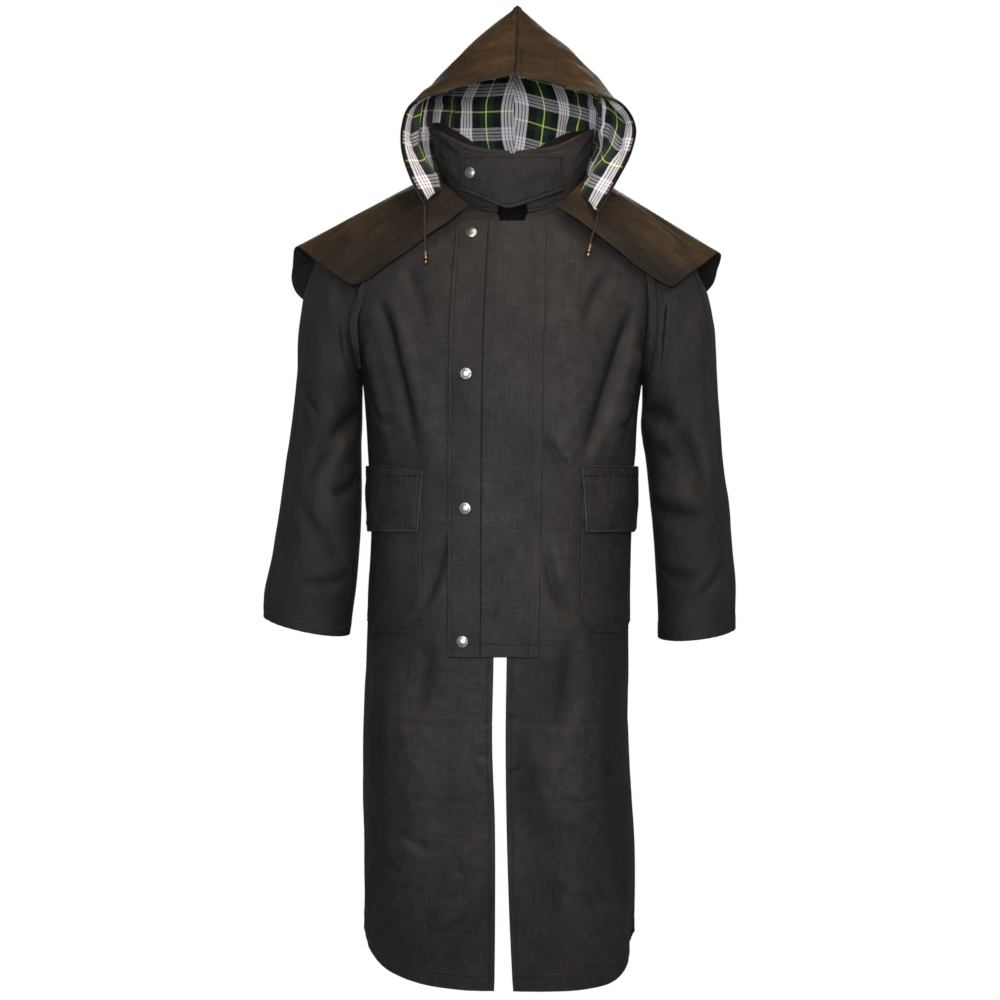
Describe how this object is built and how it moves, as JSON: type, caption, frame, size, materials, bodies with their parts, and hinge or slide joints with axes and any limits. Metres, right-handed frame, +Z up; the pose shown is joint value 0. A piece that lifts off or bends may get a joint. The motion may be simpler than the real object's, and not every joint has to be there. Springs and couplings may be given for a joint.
{
  "type": "cape coat",
  "caption": "Long waxed-cotton cape coat with a hood, shoulder cape, stand collar, storm placket and flapped patch pockets, filled out as worn and hollow.",
  "frame": {"origin": "middle of the neck at shoulder height, where the wearer's shoulders carry the coat", "axes": "+Z up along the coat's length, -Y towards the front, +X towards the wearer's left"},
  "size_m": [0.7003, 0.339, 1.479],
  "materials": {
    "waxed_dark": "dark brown-black waxed cotton, matt with a faint wax sheen",
    "waxed_brown": "brown waxed cotton, mottled where the wax has moved",
    "tartan": "brushed cotton in a green, navy, white and yellow tartan",
    "stud_metal": "polished nickel",
    "cord": "dark braided cord",
    "cord_end_metal": "antiqued metal"
  },
  "bodies": {
    "root": {"front_right": "waxed_dark", "front_left": "waxed_dark", "back": "waxed_dark", "sleeve_right_front": "waxed_dark", "sleeve_right_back": "waxed_dark", "sleeve_left_front": "waxed_dark", "sleeve_left_back": "waxed_dark", "collar": "waxed_dark", "throat_tab": "waxed_dark", "placket": "waxed_dark", "pocket_right": "waxed_dark", "pocket_left": "waxed_dark", "flap_right": "waxed_dark", "flap_left": "waxed_dark", "cape_front_right": "waxed_brown", "cape_front_left": "waxed_brown", "cape_back": "waxed_brown", "cape_strap_right": "waxed_dark", "cape_strap_left": "waxed_dark", "hood_right": "waxed_brown", "hood_left": "waxed_brown", "hood_lining_right": "tartan", "hood_lining_left": "tartan", "stud_tab": "stud_metal", "stud_1": "stud_metal", "stud_2": "stud_metal", "stud_3": "stud_metal", "stud_4": "stud_metal", "drawcord_right": "cord", "drawcord_left": "cord", "cord_end_right": "cord_end_metal", "cord_end_left": "cord_end_metal"}
  },
  "joints": []
}
